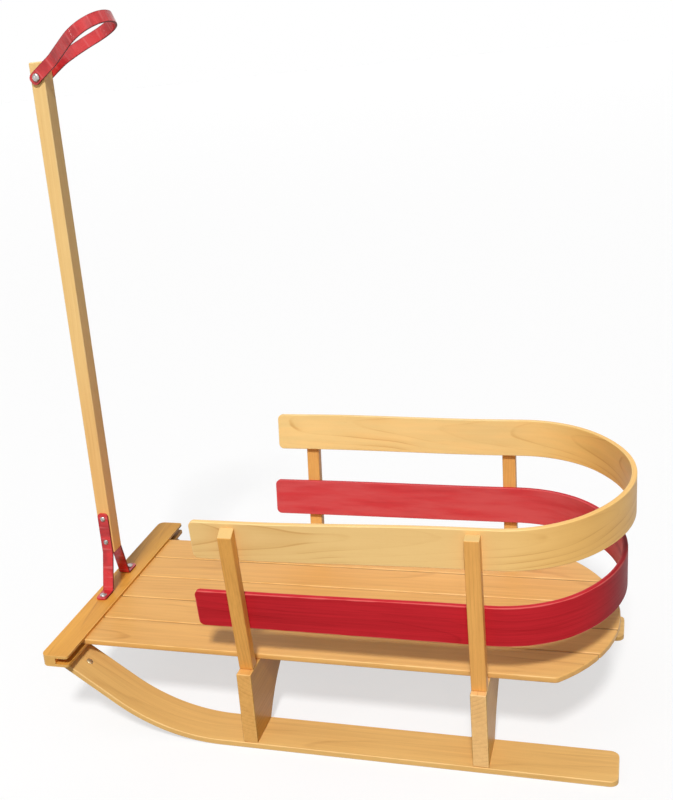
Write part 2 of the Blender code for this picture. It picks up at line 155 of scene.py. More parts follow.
def band(name, length, width, thickness, edge, corners, step, place, material, slot, **ties):
    """A strip of rounded-rectangle section carried along a path.

    Across is side x (half width - edge) + edge x cos a and depth is side x (half thickness
    - edge) + edge x sin a. At a distance d from an end the half width is less by
    r - sqrt(r^2 - (r - d)^2), where r is that end's corner radius, and the half thickness is
    less by the same of the edge. place(distance, across, depth) gives the points.
    """
    start, end = (radius * (1 - np.cos(np.linspace(0, np.pi / 2, 13))) for radius in corners)
    count = max(2, int((length - start[-1] - end[-1]) / step))
    middle = np.linspace(start[-1], length - end[-1], count + 1)[1:-1]
    spots = np.concatenate((start, middle, length - end[::-1]))[:, None]

    def drawn_in(distance, radius):
        inside = np.clip(radius - distance, 0, radius)
        return radius - np.sqrt(radius**2 - inside**2)

    half_width = width / 2 - drawn_in(spots, corners[0]) - drawn_in(length - spots, corners[1])
    half_depth = thickness / 2 - drawn_in(spots, edge) - drawn_in(length - spots, edge)
    turn = np.concatenate([np.linspace(0, 90, 5) + 90 * corner for corner in range(4)])
    side_a = np.repeat([1, -1, -1, 1], 5)
    side_d = np.repeat([1, 1, -1, -1], 5)
    across = side_a * (half_width - edge) + edge * np.cos(np.radians(turn))
    depth = side_d * (half_depth - edge) + edge * np.sin(np.radians(turn))
    distance = np.broadcast_to(spots, across.shape)
    points = np.stack(place(distance, across, depth), -1)
    board = np.stack((distance - length / 2, across, depth), -1)
    return piece(name, points, ring_faces(*across.shape), material, slot, board=board, **ties)


def flat_path_band(name, start, heading, moves, axes, sizes, corners, step, material, slot, **ties):
    """A band whose path lies in one plane. The path is one face and the band thickens beside it.

    axes is (origin, path X, path Y, across), sizes is (width, thickness, edge), and the point
    is origin + X x + Y y + across a, with (x, y) moved along the path's left-hand normal.
    """
    width, thickness, edge = sizes
    origin, x_axis, y_axis, across_axis = (np.array(axis) for axis in axes)

    def place(distance, across, depth):
        x, y, angle = follow(start, heading, moves, distance)
        out = depth + thickness / 2
        x, y = x - out * np.sin(angle), y + out * np.cos(angle)
        return tuple(
            origin[i] + x_axis[i] * x + y_axis[i] * y + across_axis[i] * across for i in range(3)
        )

    length = path_length(moves)
    return band(
        name, length, width, thickness, edge, corners, step, place, material, slot, **ties
    )


def turned(name, profile, place, material, slot, sides=32, **ties):
    """A round piece: each (radius, height) of the profile goes round as
    (radius cos a, radius sin a, height), closed by a flat face at either end."""
    radius, height = (np.array(column)[:, None] for column in zip(*profile))
    angle = np.linspace(0, 2 * np.pi, sides, endpoint=False)[None, :]
    rings = np.stack(
        (radius * np.cos(angle), radius * np.sin(angle), height + 0 * angle), -1
    )
    turned_to = np.array(place.to_3x3())
    points = rings.reshape(-1, 3) @ turned_to.T + np.array(place.translation)
    return piece(name, points, ring_faces(len(profile), sides), material, slot, **ties)


def pointing(spot, direction):
    """The placing matrix that puts a turned piece's height along a direction at a spot."""
    facing = Vector(direction).to_track_quat("Z", "Y").to_matrix().to_4x4()
    return Matrix.Translation(spot) @ facing


# Shader making

def wired(tree, kind, inputs, **settings):
    """Adds a node, sets its properties, and gives each input a value or a link."""
    node = tree.nodes.new(kind)
    for name, value in settings.items():
        setattr(node, name, value)
    for name, value in inputs.items():
        if isinstance(value, bpy.types.NodeSocket):
            tree.links.new(value, node.inputs[name])
        else:
            node.inputs[name].default_value = value
    return node


def sum_of(tree, operation, first, second=0.0, third=0.0, clamp=False):
    """One Math node's result."""
    values = {0: first, 1: second, 2: third}
    node = wired(tree, "ShaderNodeMath", values, operation=operation, use_clamp=clamp)
    return node.outputs[0]


def product(tree, first, second):
    """Two values multiplied."""
    return sum_of(tree, "MULTIPLY", first, second)


def scaled_onto(tree, value, factor, base):
    """value x factor + base."""
    return sum_of(tree, "MULTIPLY_ADD", value, factor, base)


def vector_of(tree, operation, first, second=(0.0, 0.0, 0.0)):
    """One Vector Math node's vector."""
    node = wired(tree, "ShaderNodeVectorMath", {0: first, 1: second}, operation=operation)
    return node.outputs[0]


def component(tree, vector, axis):
    """A vector's value along one axis."""
    return wired(tree, "ShaderNodeSeparateXYZ", {"Vector": vector}).outputs[axis]


def ramp_between(tree, value, low, high, to_low=0.0, to_high=1.0):
    """A smooth step of a value between two marks."""
    inputs = {"Value": value, "From Min": low, "From Max": high}
    inputs |= {"To Min": to_low, "To Max": to_high}
    node = wired(tree, "ShaderNodeMapRange", inputs, interpolation_type="SMOOTHSTEP")
    return node.outputs[0]


def blended(tree, share, first, second, mode="MIX"):
    """One Mix node's colour."""
    inputs = {0: share, 6: first, 7: second}
    return wired(tree, "ShaderNodeMix", inputs, data_type="RGBA", blend_type=mode).outputs[2]


def noise(tree, vector, scale, detail):
    """One Noise Texture node's value, its scale in waves a metre."""
    inputs = {"Vector": vector, "Scale": scale, "Detail": detail}
    return wired(tree, "ShaderNodeTexNoise", inputs).outputs["Fac"]


def streaks(tree, vector, along, across, detail=3.0):
    """Noise drawn out along the grain, with its scales in waves a metre."""
    scaled = vector_of(tree, "MULTIPLY", vector, (along, across, across))
    return noise(tree, scaled, 1.0, detail)


def bumped(tree, shader, height, strength, distance):
    """Turns the shader's normal by a height, and gives that normal."""
    inputs = {"Height": height, "Strength": strength, "Distance": distance}
    normal = wired(tree, "ShaderNodeBump", inputs).outputs["Normal"]
    tree.links.new(normal, shader.inputs["Normal"])
    return normal


def new_group(name, inputs, outputs):
    """A node group from tables of {socket: (kind, first value)}, with its two ends' sockets."""
    tree = bpy.data.node_groups.new(name, "ShaderNodeTree")
    for side, table in (("INPUT", inputs), ("OUTPUT", outputs)):
        for words, (kind, value) in table.items():
            made = tree.interface.new_socket(words, in_out=side, socket_type=kind)
            if value is not None:
                made.default_value = value
    return tree, tree.nodes.new("NodeGroupInput").outputs, tree.nodes.new("NodeGroupOutput").inputs


VECTOR, COLOR, VALUE = "NodeSocketVector", "NodeSocketColor", "NodeSocketFloat"


def make_grain_group():
    """Wood as rings round a virtual log's axis, which runs along X, with fibres along it.

    The ring's phase is the fraction of (sqrt(y^2 + z^2) + taper x + wander) / pitch. Late wood
    rises over a ring as a broad band and, near its end, as a line.
    """
    inputs = {
        "Board": (VECTOR, None), "Log Centre": (VECTOR, None),
        "Pale": (COLOR, (0.8, 0.5, 0.2, 1)), "Dark": (COLOR, (0.5, 0.25, 0.08, 1)),
        "Ring Pitch": (VALUE, 0.004), "Taper": (VALUE, 0.03), "Ring Strength": (VALUE, 0.4),
        "Fibre Strength": (VALUE, 0.3), "Cloud Strength": (VALUE, 0.42),
    }
    outputs = {"Color": (COLOR, None), "Roughness": (VALUE, None), "Height": (VALUE, None)}
    tree, source, end = new_group("wood grain", inputs, outputs)
    moved = vector_of(tree, "SUBTRACT", source["Board"], source["Log Centre"])
    wander = noise(tree, vector_of(tree, "MULTIPLY", moved, (3.0, 14.0, 14.0)), 1.0, 2.0)
    x, y, z = wired(tree, "ShaderNodeSeparateXYZ", {"Vector": moved}).outputs
    radius = sum_of(tree, "SQRT", sum_of(tree, "ADD", product(tree, y, y), product(tree, z, z)))
    radius = scaled_onto(tree, x, source["Taper"], radius)
    radius = scaled_onto(tree, wander, 0.012, radius)
    phase = sum_of(tree, "FRACT", sum_of(tree, "DIVIDE", radius, source["Ring Pitch"]))
    band_rise = ramp_between(tree, phase, 0.30, 0.88, 0.0, 0.30)
    line_rise = ramp_between(tree, phase, 0.84, 0.93, 0.0, 0.70)
    fall = ramp_between(tree, phase, 0.94, 1.0, 1.0, 0.0)
    late_wood = product(tree, sum_of(tree, "ADD", band_rise, line_rise), fall)
    fading = ramp_between(tree, streaks(tree, moved, 6.0, 26.0, 2.0), 0.40, 0.62, 0.12, 1.0)
    late_wood = product(tree, late_wood, fading)
    late_wood = product(tree, late_wood, source["Ring Strength"])

    fine = streaks(tree, moved, 12.0, 700.0, 3.0)
    coarse = streaks(tree, moved, 2.5, 150.0, 3.0)
    fleck = ramp_between(tree, streaks(tree, moved, 110.0, 1100.0, 1.0), 0.66, 0.74)
    cloud = streaks(tree, moved, 6.0, 18.0, 2.0)
    fibre = sum_of(
        tree,
        "ADD",
        product(tree, sum_of(tree, "SUBTRACT", fine, 0.5), 0.9),
        product(tree, sum_of(tree, "SUBTRACT", coarse, 0.5), 1.3),
    )
    shade = sum_of(tree, "ADD", late_wood, product(tree, fibre, source["Fibre Strength"]))
    cloudy = sum_of(tree, "SUBTRACT", cloud, 0.5)
    shade = scaled_onto(tree, cloudy, source["Cloud Strength"], shade)
    shade = scaled_onto(tree, fleck, 0.14, shade)
    shade = sum_of(tree, "ADD", shade, 0.20, clamp=True)
    tree.links.new(blended(tree, shade, source["Pale"], source["Dark"]), end["Color"])
    rough = scaled_onto(tree, fine, 0.16, 0.36)
    tree.links.new(scaled_onto(tree, fleck, 0.08, rough), end["Roughness"])
    height = scaled_onto(tree, late_wood, -0.3, fine)
    tree.links.new(scaled_onto(tree, fleck, -0.5, height), end["Height"])
    return tree


def make_edge_group():
    """How near a point of a box-like piece is to one of its edges.

    With a, b and c the distances to the box's faces, an edge is where the second smallest is
    near 0, and that is max(min(a, b), min(max(a, b), c)).
    """
    inputs = {"Board": (VECTOR, None), "Half Size": (VECTOR, None), "Reach": (VALUE, 0.002)}
    tree, source, end = new_group("edge rub", inputs, {"Wear_And_Highlight_Share": (VALUE, None)})
    away = vector_of(tree, "ABSOLUTE", source["Board"])
    left = vector_of(tree, "SUBTRACT", source["Half Size"], away)
    a, b, c = wired(tree, "ShaderNodeSeparateXYZ", {"Vector": left}).outputs
    low = sum_of(tree, "MINIMUM", a, b)
    high = sum_of(tree, "MAXIMUM", a, b)
    second = sum_of(tree, "MAXIMUM", low, sum_of(tree, "MINIMUM", high, c))
    patchy = ramp_between(tree, streaks(tree, source["Board"], 25.0, 90.0, 2.0), 0.3, 0.7, 0.5, 1.3)
    share = sum_of(tree, "DIVIDE", second, product(tree, source["Reach"], patchy))
    tree.links.new(ramp_between(tree, share, 0.25, 1.0, 1.0, 0.0), end["Wear_And_Highlight_Share"])
    return tree


def principled(name, **constants):
    """A material with its constant values set on the shader's own sockets."""
    material = bpy.data.materials.new(name)
    material.use_nodes = True
    shader = material.node_tree.nodes["Principled BSDF"]
    for words, value in constants.items():
        shader.inputs[words.replace("_", " ")].default_value = value
    return material, material.node_tree, shader


GRAIN_TURNS = {"X": (0, 0, 0), "Y": (0, 0, math.radians(-90)), "Z": (0, math.radians(90), 0)}
# How far in from an edge wood is paled by wear and a painted highlight, and how far from its side
# a slat's joint, dirt with painted shade, shows
WEAR_AND_HIGHLIGHT_REACH = 0.0022
JOINT_FULL, JOINT_GONE = 0.0022, 0.0038


def wood(
    name, along, middle, half_size, log_centre, tone,
    sheen=0.2, rubbing=0.5, joint_dirt_and_shade=0.0, faces=None, faded=None, patina=None, **grain
):
    """Varnished wood whose grain runs along an axis, or along a band when along is None.

    middle is the board's middle in the frame, half_size is its half size with the grain's axis
    first, and log_centre is where its log's axis lies from the middle. seam is how dark its
    right long side is, with dirt and painted shade in the joint there, faces is (axis, share,
    tint, mode) for the faces that look along an axis, which on the trestles is painted shade,
    and faded is (tone, mode) for a band's inner face, painted shade on the upper rail and a
    painted sheen on the lower. patina is (tint, where it is full, where it ends), both as
    distances along the grain, to either side of a band's middle; it is a painted sheen on the
    slats and painted shade on the rails' tails.
    """
    material, tree, shader = principled(
        name, Specular_IOR_Level=sheen, Coat_Weight=sheen / 4, Coat_Roughness=0.2
    )
    if along:
        place = wired(tree, "ShaderNodeTexCoord", {}).outputs["Object"]
        centred = vector_of(tree, "SUBTRACT", place, middle)
        turn = {"Vector": centred, "Rotation": GRAIN_TURNS[along]}
        board = wired(tree, "ShaderNodeMapping", turn).outputs[0]
    else:
        board = wired(tree, "ShaderNodeAttribute", {}, attribute_name="board").outputs["Vector"]
    pale, dark, worn_and_lit_edge = tone
    inputs = {"Board": board, "Log Centre": log_centre, "Pale": pale, "Dark": dark}
    inputs |= {words.replace("_", " "): value for words, value in grain.items()}
    grained = wired(tree, "ShaderNodeGroup", inputs, node_tree=grain_group).outputs
    inputs = {"Board": board, "Half Size": half_size, "Reach": WEAR_AND_HIGHLIGHT_REACH}
    wear_and_highlight = wired(tree, "ShaderNodeGroup", inputs, node_tree=edge_group).outputs["Wear_And_Highlight_Share"]
    # Edges pale towards the third tone: partly wear, partly a painted highlight for the light
    # caught on eased edges
    color = blended(tree, product(tree, wear_and_highlight, rubbing), grained["Color"], worn_and_lit_edge)
    if joint_dirt_and_shade:
        right_side = -half_size[1]
        joint = ramp_between(
            tree, component(tree, board, "Y"),
            right_side + JOINT_FULL, right_side + JOINT_GONE, 1.0, 0.0,
        )
        broken = ramp_between(tree, streaks(tree, board, 7.0, 0.0, 3.0), 0.35, 0.6, 0.25, 1.0)
        joint = product(tree, joint, product(tree, broken, joint_dirt_and_shade))
        # The joint's brown is dirt with painted shade, laid only on the slat's side that faces away
        # from the sun
        color = blended(tree, joint, color, JOINT_DIRT_AND_SHADE_BROWN)
    if faces:
        axis, share, tint, mode = faces
        normal = wired(tree, "ShaderNodeTexCoord", {}).outputs["Normal"]
        facing = sum_of(tree, "ABSOLUTE", component(tree, normal, axis))
        facing = ramp_between(tree, facing, 0.45, 0.65, 0.0, share)
        color = blended(tree, facing, color, tint, mode)
    # A tint along the grain: painted sheen on the slats, painted shade on the rails' tails, and a
    # darker tone on the crossbar's far half and the pole's foot
    if patina:
        tint, full, none = patina
        spot = component(tree, board, "X")
        if not along:
            spot = sum_of(tree, "ABSOLUTE", spot)
        tinted = ramp_between(tree, spot, full, none, 1.0, 0.0)
        color = blended(tree, tinted, color, tint, "MULTIPLY")
    # A band's inner face tone is painted light: painted shade on the upper rail, a paler pink
    # painted sheen on the lower
    if faded:
        inside = ramp_between(tree, component(tree, board, "Z"), 0.0, half_size[2] - 0.0003)
        patchy = ramp_between(tree, streaks(tree, board, 9.0, 60.0, 3.0), 0.3, 0.65, 0.45, 1.0)
        color = blended(tree, product(tree, inside, patchy), color, *faded)
    tree.links.new(color, shader.inputs["Base Color"])
    rough = scaled_onto(tree, wear_and_highlight, 0.06, grained["Roughness"])
    tree.links.new(rough, shader.inputs["Roughness"])
    bumped(tree, shader, grained["Height"], 0.12, 0.0004)
    return material


def red_paint(name, color, dark, width):
    """Glossy red enamel brushed over steel strap: its coat ripples along the strap, with a painted
    pink highlight on the ripples' crests, is duller and darker in handled places, and thin and
    dull on the strap's narrow sides, which carry painted shade in dark maroon. The ripple is
    noise drawn out across the strap."""
    material, tree, shader = principled(name, Coat_Roughness=0.1, Specular_IOR_Level=0.3)
    place = wired(tree, "ShaderNodeTexCoord", {}).outputs["Object"]
    strap = wired(tree, "ShaderNodeAttribute", {}, attribute_name="board").outputs["Vector"]
    cloud = noise(tree, place, 45.0, 3.0)
    speck = noise(tree, place, 420.0, 2.0)
    ripple = streaks(tree, strap, 120.0, 14.0, 1.0)
    across = sum_of(tree, "ABSOLUTE", component(tree, strap, "Y"))
    edge = ramp_between(tree, across, width / 2 - 0.0012, width / 2 - 0.0004)
    face = blended(tree, ramp_between(tree, cloud, 0.38, 0.64), color, dark)
    # Painted highlight: pale pink on the ripples' crests, for the gloss streaks
    face = blended(tree, ramp_between(tree, ripple, 0.55, 0.68, 0.0, 0.40), face, PAINTED_HIGHLIGHT_PINK)
    # Painted shade: the strap's narrow sides are turned dark maroon
    tree.links.new(blended(tree, edge, face, PAINTED_SHADE_MAROON), shader.inputs["Base Color"])
    tree.links.new(scaled_onto(tree, edge, -0.5, 0.55), shader.inputs["Coat Weight"])
    rough = ramp_between(tree, cloud, 0.35, 0.7, 0.26, 0.42)
    tree.links.new(scaled_onto(tree, edge, 0.3, rough), shader.inputs["Roughness"])
    height = scaled_onto(tree, ripple, 14.0, scaled_onto(tree, cloud, 2.0, speck))
    normal = bumped(tree, shader, height, 0.3, 0.0003)
    tree.links.new(normal, shader.inputs["Coat Normal"])
    return material


def bare_steel(name, color, dark, rough_low, rough_high):
    """Zinc-plated steel with cloudy patches and fine scratches."""
    material, tree, shader = principled(name, Metallic=1.0)
    place = wired(tree, "ShaderNodeTexCoord", {}).outputs["Object"]
    cloud = noise(tree, place, 160.0, 4.0)
    patches = blended(tree, ramp_between(tree, cloud, 0.35, 0.7), color, dark)
    tree.links.new(patches, shader.inputs["Base Color"])
    rough = ramp_between(tree, cloud, 0.3, 0.75, rough_low, rough_high)
    tree.links.new(rough, shader.inputs["Roughness"])
    bumped(tree, shader, noise(tree, place, 1400.0, 2.0), 0.15, 0.0001)
    return material


grain_group = make_grain_group()
edge_group = make_edge_group()

# Tones: pale wood, dark wood and the edge, paled by wear and a painted highlight
HONEY = ((0.82, 0.445, 0.128, 1), (0.50, 0.215, 0.050, 1), (0.93, 0.60, 0.24, 1))
BUTTER = ((0.845, 0.52, 0.177, 1), (0.52, 0.25, 0.070, 1), (0.95, 0.64, 0.28, 1))
BIRCH = ((0.99, 0.675, 0.28, 1), (0.78, 0.44, 0.145, 1), (0.99, 0.75, 0.37, 1))
CREAM = ((0.94, 0.58, 0.235, 1), (0.60, 0.30, 0.10, 1), (0.96, 0.68, 0.33, 1))
STRAW = ((0.93, 0.48, 0.130, 1), (0.56, 0.235, 0.052, 1), (0.95, 0.63, 0.26, 1))
AMBER = ((0.86, 0.43, 0.099, 1), (0.46, 0.18, 0.034, 1), (0.90, 0.52, 0.17, 1))
ORANGE = ((0.79, 0.38, 0.060, 1), (0.44, 0.16, 0.024, 1), (0.90, 0.50, 0.14, 1))
STAINED = ((0.61, 0.022, 0.033, 1), (0.36, 0.010, 0.015, 1), (0.78, 0.14, 0.13, 1))

# Tones of parts of a piece, several of them painted light: dirt with painted shade in the slats'
# joints, painted shade on the enamel's narrow sides and a painted highlight on its ripples, for
# the rails' inner faces painted shade on the upper and a painted sheen on the lower, each with the
# way it is laid over the wood, and for the rails' tails painted shade, with where it is full and
# where it ends
JOINT_DIRT_AND_SHADE_BROWN = (0.16, 0.065, 0.018, 1)
END_GRAIN = (0.78, 0.53, 0.21, 1)
PAINTED_SHADE_MAROON = (0.20, 0.012, 0.016, 1)
PAINTED_HIGHLIGHT_PINK = (0.80, 0.16, 0.16, 1)
PAINTED_SHEEN_STAIN = ((0.61, 0.088, 0.094, 1), "MIX")
PAINTED_SHADE_INSIDE = ((0.89, 0.95, 0.98, 1), "MULTIPLY")
PAINTED_WARM_SHADE_TAIL = ((1.0, 0.88, 0.66, 1), 0.15, 0.38)
PAINTED_SHADOW_TAIL = ((0.50, 0.62, 0.60, 1), 0.04, 0.18)

BRACKET_WIDTH, GRIP_WIDTH = 0.0195, 0.019
BRACKET_RED = red_paint(
    "bracket enamel", (0.62, 0.020, 0.024, 1), (0.42, 0.010, 0.015, 1), BRACKET_WIDTH
)
GRIP_RED = red_paint("loop enamel", (0.68, 0.036, 0.040, 1), (0.50, 0.018, 0.024, 1), GRIP_WIDTH)
BOLT_STEEL = bare_steel("zinc bolts", (0.56, 0.55, 0.53, 1), (0.26, 0.25, 0.24, 1), 0.2, 0.38)
# Painted reflection: this zinc is tinted cream for the wood it reflects
PAINTED_REFLECTION_ZINC = bare_steel(
    "weathered zinc with painted reflection", (0.80, 0.70, 0.48, 1), (0.54, 0.45, 0.27, 1), 0.38, 0.56
)
STRAP_STEEL = bare_steel("zinc strap", (0.60, 0.60, 0.58, 1), (0.42, 0.41, 0.38, 1), 0.32, 0.5)


# Straight wooden pieces, each cut from its own board

def board_of(node, along):
    """A node's middle and its half size with the grain's axis first."""
    low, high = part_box(node)
    half = (high - low) / 2
    order = {"X": (0, 1, 2), "Y": (1, 0, 2), "Z": (2, 1, 0)}[along]
    return (low + high) / 2, tuple(half[i] for i in order)


# The slats are paler towards their rear ends, a painted sheen, the crossbar is darker on its far
# half, and the pole is deeper in tone towards its foot
PAINTED_SHEEN_AND_TINTS = {f"slat_{number}": ((1.03, 1.09, 1.22, 1), -0.05, 0.12) for number in range(1, 6)}
PAINTED_SHEEN_AND_TINTS |= {
    "crossbar": ((0.80, 0.81, 0.64, 1), -0.15, -0.01),
    "pole": ((0.90, 0.78, 0.69, 1), -0.38, 0.08),
}
# How dark the joint beside each slat is, with dirt and painted shade
JOINTS = {"slat_2": 0.85, "slat_3": 0.40, "slat_4": 0.95, "slat_5": 0.50}
# The faces whose tone differs, by the piece's kind: the posts' tops and the crossbar's ends are
# paler cut wood, and the trestles' broad faces are darkened with painted shade
POST_TOP = ("Z", 0.9, END_GRAIN, "MIX")
FACES = {
    "front_post": POST_TOP,
    "rear_post": POST_TOP,
    "crossbar": ("Y", 0.4, END_GRAIN, "MIX"),
    # Painted shade: the trestles' faces that look along X are made darker and browner
    "trestle": ("X", 1.0, (0.80, 0.77, 0.52, 1), "MULTIPLY"),
}
# Grain axis, tone, where the log's axis lies, and the rings' pitch, taper and strength
straight_pieces = {
    "crossbar": ("Y", ORANGE, (0.2, 0.012, -0.055), 0.005, 0.03, 0.45),
    "front_trestle": ("Y", HONEY, (0.3, 0.03, 0.09), 0.006, 0.05, 0.5),
    "rear_trestle": ("Y", CREAM, (-0.2, -0.035, 0.10), 0.006, -0.04, 0.5),
    "left_front_post": ("Z", AMBER, (0.1, 0.03, 0.05), 0.004, 0.02, 0.4),
    "right_front_post": ("Z", HONEY, (0.5, -0.03, 0.05), 0.004, -0.02, 0.4),
    "left_rear_post": ("Z", STRAW, (0.9, 0.04, -0.04), 0.004, 0.02, 0.4),
    "right_rear_post": ("Z", HONEY, (1.3, 0.03, 0.06), 0.004, 0.02, 0.4),
    "pole": ("Z", BIRCH, (0.4, 0.05, 0.03), 0.005, 0.012, 0.4),
    "slat_1": ("X", HONEY, (0.3, 0.010, 0.110), 0.006, 0.02, 0.35),
    "slat_2": ("X", HONEY, (0.9, -0.02, 0.140), 0.006, -0.02, 0.3),
    "slat_3": ("X", HONEY, (1.6, 0.05, 0.090), 0.006, 0.03, 0.35),
    "slat_4": ("X", HONEY, (2.2, -0.06, 0.120), 0.006, 0.015, 0.3),
    "slat_5": ("X", HONEY, (2.9, 0.02, 0.100), 0.006, -0.03, 0.35),
}
for node, (along, tone, log_centre, pitch, taper, rings) in straight_pieces.items():
    middle, half_size = board_of(node, along)
    kind = node.split("_", 1)[-1]
    finish = wood(
        node + " wood", along, middle, half_size, log_centre, tone,
        joint_dirt_and_shade=JOINTS.get(node, 0.0), faces=FACES.get(kind), patina=PAINTED_SHEEN_AND_TINTS.get(node),
        Ring_Pitch=pitch, Taper=taper, Ring_Strength=rings, Fibre_Strength=0.42,
        Cloud_Strength=0.9 if tone is ORANGE else 0.42,
    )
    eased_copy(node, finish)


# Bentwood rails

RAIL_HEIGHT = 0.0625
RAIL_THICKNESS = 0.008
RAIL_HALF_WIDTH = 0.2105
RAIL_LEAN_FROM_Z = 0.194
RAIL_LEANS_DEG = (0.6, 3.2, 3.2, 7.5)
RAIL_SIDE_RADIUS = 0.164
RAIL_SIDE_TURN_DEG = 50.0
RAIL_CORNER = 0.009
RAIL_EDGE = 0.0014
RAIL_STEP = 0.004
UPPER_RAIL_Z, LOWER_RAIL_Z = 0.3153, 0.194
UPPER_RAIL_FRONT_X, LOWER_RAIL_FRONT_X = FRONT_POST_X + 0.0604, FRONT_POST_X + 0.0709
UPPER_RAIL_BACK_X, LOWER_RAIL_BACK_X = -0.44433, TAIL_X - 0.008


def lean_at(x):
    """The rails' outward lean, a tangent that grows by smooth steps from the tail to the front."""
    marks = (TAIL_X, REAR_POST_X - POST_WIDTH, REAR_POST_X + POST_WIDTH, FRONT_POST_X - POST_WIDTH)
    leans = np.tan(np.radians(RAIL_LEANS_DEG))
    lean = np.full(np.shape(x), leans[0])
    for low_x, high_x, rise in zip(marks, marks[1:], np.diff(leans)):
        share = np.clip((x - low_x) / (high_x - low_x), 0, 1)
        lean = lean + rise * share * share * (3 - 2 * share)
    return lean


def rail(name, slot, low_z, front_x, back_x, tone, log_centre, **grain):
    """A band bent round the sled's tail, whose face leans outward by lean_at(x) per height."""
    turn = math.radians(RAIL_SIDE_TURN_DEG)
    side = RAIL_SIDE_RADIUS
    tail = (RAIL_HALF_WIDTH - side * (1 - math.cos(turn))) / math.cos(turn)
    bend_depth = side * math.sin(turn) + tail * (1 - math.sin(turn))
    straight = (front_x - back_x - bend_depth, 0)
    side_bend = bend(side, RAIL_SIDE_TURN_DEG)
    moves = [straight, side_bend, bend(tail, 180 - 2 * RAIL_SIDE_TURN_DEG), side_bend, straight]
    length = path_length(moves)

    def place(distance, across, depth):
        x, y, angle = follow((front_x, RAIL_HALF_WIDTH), 180.0, moves, distance)
        z = low_z + RAIL_HEIGHT / 2 + across
        lean = lean_at(x)
        inward = depth + RAIL_THICKNESS / 2
        level = 1 / np.sqrt(1 + lean * lean)
        out = (z - RAIL_LEAN_FROM_Z) * lean - inward * level
        return x + out * np.sin(angle), y - out * np.cos(angle), z + inward * level * lean

    half_size = (length / 2, RAIL_HEIGHT / 2, RAIL_THICKNESS / 2)
    finish = wood(name + " wood", None, None, half_size, log_centre, tone, **grain)
    band(
        name + "_bent", length, RAIL_HEIGHT, RAIL_THICKNESS, RAIL_EDGE,
        (RAIL_CORNER, RAIL_CORNER), RAIL_STEP, place, finish, slot, stands_for=(name,),
    )


# The upper rail has painted shade on its inner face and a warm painted shade at its tail
rail(
    "upper_rail", "maple", UPPER_RAIL_Z, UPPER_RAIL_FRONT_X, UPPER_RAIL_BACK_X,
    BIRCH, (0.25, 0.012, -0.062), faded=PAINTED_SHADE_INSIDE, patina=PAINTED_WARM_SHADE_TAIL,
    Ring_Pitch=0.0042, Taper=0.035, Ring_Strength=0.95, Fibre_Strength=0.18,
)
# The lower rail has a painted sheen on its inner face and a painted shadow at its tail
rail(
    "lower_rail", "red_stained_wood", LOWER_RAIL_Z, LOWER_RAIL_FRONT_X, LOWER_RAIL_BACK_X,
    STAINED, (0.6, -0.02, -0.08), sheen=0.05, rubbing=0.8, faded=PAINTED_SHEEN_STAIN, patina=PAINTED_SHADOW_TAIL,
    Ring_Pitch=0.004, Taper=0.02, Ring_Strength=0.3, Fibre_Strength=0.85,
)


# Skis, bent up in front and cut level under the crossbar

SKI_WIDTH = 0.0735
SKI_THICKNESS = 0.009
SKI_BEND = 0.300
SKI_REACH = 0.0315
SKI_EDGE = 0.0013
SKI_CORNER = 0.013
SKI_STEP = 0.006

slope = math.radians(SKI_SLOPE_DEG)
ski_rise = BAR_BOTTOM_Z - SEAT_GAP
bend_rise = SKI_BEND * (1 - math.cos(slope))
ramp = (ski_rise - bend_rise) / math.sin(slope)
ski_flat = BAR_BACK_X + SKI_REACH - ramp * math.cos(slope) - SKI_BEND * math.sin(slope) - TAIL_X
ski_moves = [(ski_flat, 0), bend(SKI_BEND, SKI_SLOPE_DEG), (ramp, 0)]
ramp_start = ski_flat + SKI_BEND * slope


def ski(name, side, log_centre, taper, rings):
    """A band along the ski's sole. On the ramp the distance is scaled, at each depth, so that
    the end lies in the level plane under the crossbar: the ramp's length there is
    (rise - depth cos slope) / sin slope."""
    middle = side * SKI_MIDDLE_Y
    length = ramp_start + ramp

    def place(distance, across, depth):
        above = depth + SKI_THICKNESS / 2
        reach = (ski_rise - bend_rise - above * math.cos(slope)) / math.sin(slope)
        beyond = np.clip(distance - ramp_start, 0, None)
        distance = np.minimum(distance, ramp_start) + beyond * reach / ramp
        x, z, angle = follow((TAIL_X, 0.0), 0.0, ski_moves, distance)
        return x - above * np.sin(angle), middle + across, z + above * np.cos(angle)

    half_size = (length / 2, SKI_WIDTH / 2, SKI_THICKNESS / 2)
    finish = wood(
        name + " wood", None, None, half_size, log_centre, BUTTER,
        Ring_Pitch=0.006, Taper=taper, Ring_Strength=rings, Fibre_Strength=0.45,
    )
    band(
        name + "_bent", length, SKI_WIDTH, SKI_THICKNESS, SKI_EDGE, (SKI_CORNER, SKI_EDGE),
        SKI_STEP, place, finish, "maple", stands_for=(name,),
    )


ski("left_ski", 1, (0.3, 0.03, -0.12), 0.02, 0.25)
ski("right_ski", -1, (1.1, -0.04, -0.10), -0.02, 0.3)


# Steel brackets and nose straps

BRACKET_TOP_Z = 0.282
BRACKET_SLANT_DEG = 17.0
BRACKET_FOOT = 0.030
BRACKET_CORNER = 0.007
NOSE_STRAP_WIDTH = 0.024
NOSE_STRAP_LEG = 0.054
NOSE_STRAP_SET_BACK = 0.004
NOSE_STRAP_CORNER = 0.004
BRACKET_STEP, STRAP_STEP = 0.0012, 0.0015

